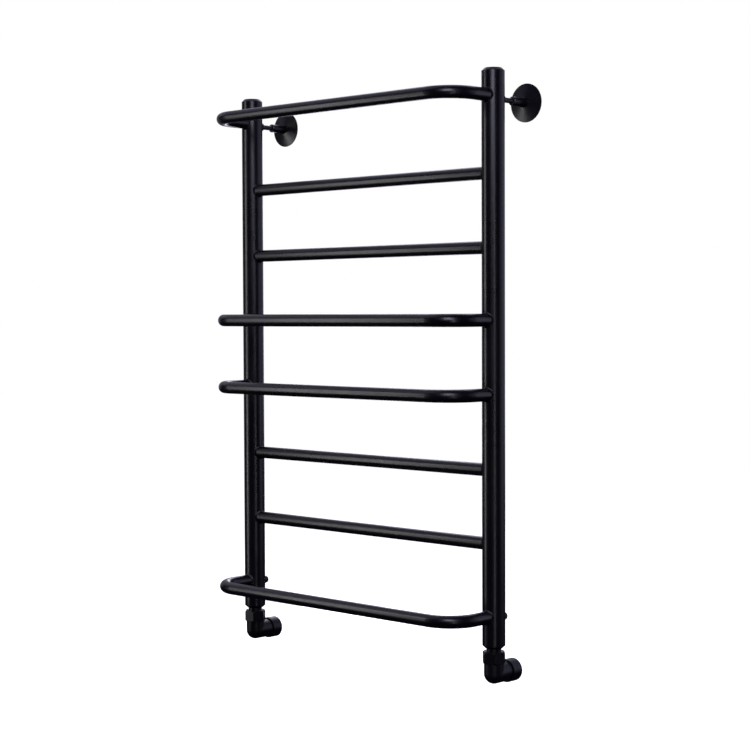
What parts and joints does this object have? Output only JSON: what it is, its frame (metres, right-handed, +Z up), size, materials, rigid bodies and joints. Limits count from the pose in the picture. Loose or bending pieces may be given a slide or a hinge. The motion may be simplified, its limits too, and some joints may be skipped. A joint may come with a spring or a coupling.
{
  "type": "water-heated towel rail",
  "caption": "Black ladder towel rail: two upright tubes joined by straight and forward-bowed rungs, telescopic wall brackets with cone covers and swivel pipe elbows at the feet.",
  "frame": {"origin": "on the wall, midway between the two bracket screw holes", "axes": "+X along the wall to the right as seen from the room, +Y into the wall, +Z up"},
  "size_m": [0.5554, 0.1723, 0.8721],
  "materials": {
    "coat": "satin black powder coat on steel",
    "fitting": "satin black coat on brass fittings",
    "screw": "black-oxide steel",
    "nylon": "black nylon",
    "rubber": "black EPDM rubber"
  },
  "bodies": {
    "wall_brackets": {"left_sleeve": "coat", "left_guide_bush": "nylon", "left_grub_screw": "screw", "right_sleeve": "coat", "right_guide_bush": "nylon", "right_grub_screw": "screw"},
    "rail": {"left_post": "coat", "left_top_cap": "coat", "left_foot_nipple": "coat", "left_bracket_boss": "coat", "left_spare_boss": "coat", "left_plug_washer": "rubber", "left_blanking_plug": "fitting", "left_stud": "coat", "left_union_washer": "rubber", "right_post": "coat", "right_top_cap": "coat", "right_foot_nipple": "coat", "right_bracket_boss": "coat", "right_spare_boss": "coat", "right_plug_washer": "rubber", "right_blanking_plug": "fitting", "right_stud": "coat", "right_union_washer": "rubber", "rung_1": "coat", "rung_2": "coat", "rung_3": "coat", "rung_4": "coat", "rung_5": "coat", "rung_6": "coat", "rung_7": "coat", "rung_8": "coat"},
    "left_escutcheon": {"left_escutcheon": "coat"},
    "left_union_nut": {"left_union_nut": "fitting"},
    "left_elbow": {"left_elbow": "fitting", "left_inlet_washer": "rubber"},
    "left_inlet_collar": {"left_inlet_collar": "fitting"},
    "right_escutcheon": {"right_escutcheon": "coat"},
    "right_union_nut": {"right_union_nut": "fitting"},
    "right_elbow": {"right_elbow": "fitting", "right_inlet_washer": "rubber"},
    "right_inlet_collar": {"right_inlet_collar": "fitting"}
  },
  "joints": [
    {"name": "wall_distance", "type": "slide", "parent": "wall_brackets", "child": "rail", "axis": [0, 1, 0], "range_m": [-0.01, 0.005]},
    {"name": "left_escutcheon_slide", "type": "slide", "parent": "wall_brackets", "child": "left_escutcheon", "axis": [0, -1, 0], "range_m": [0, 0.024]},
    {"name": "right_escutcheon_slide", "type": "slide", "parent": "wall_brackets", "child": "right_escutcheon", "axis": [0, -1, 0], "range_m": [0, 0.024]},
    {"name": "left_union_nut_turn", "type": "hinge", "parent": "rail", "child": "left_union_nut", "pos_m": [-0.25, -0.075, -0.7894], "axis": [0, 0, 1], "continuous": true},
    {"name": "right_union_nut_turn", "type": "hinge", "parent": "rail", "child": "right_union_nut", "pos_m": [0.25, -0.075, -0.7894], "axis": [0, 0, 1], "continuous": true},
    {"name": "left_elbow_swivel", "type": "hinge", "parent": "rail", "child": "left_elbow", "pos_m": [-0.25, -0.075, -0.8131], "axis": [0, 0, 1], "continuous": true},
    {"name": "right_elbow_swivel", "type": "hinge", "parent": "rail", "child": "right_elbow", "pos_m": [0.25, -0.075, -0.8131], "axis": [0, 0, 1], "continuous": true},
    {"name": "left_inlet_collar_turn", "type": "hinge", "parent": "left_elbow", "child": "left_inlet_collar", "pos_m": [-0.25, -0.03535, -0.8131], "axis": [0, 1, 0], "continuous": true},
    {"name": "right_inlet_collar_turn", "type": "hinge", "parent": "right_elbow", "child": "right_inlet_collar", "pos_m": [0.25, -0.03535, -0.8131], "axis": [0, 1, 0], "continuous": true}
  ]
}
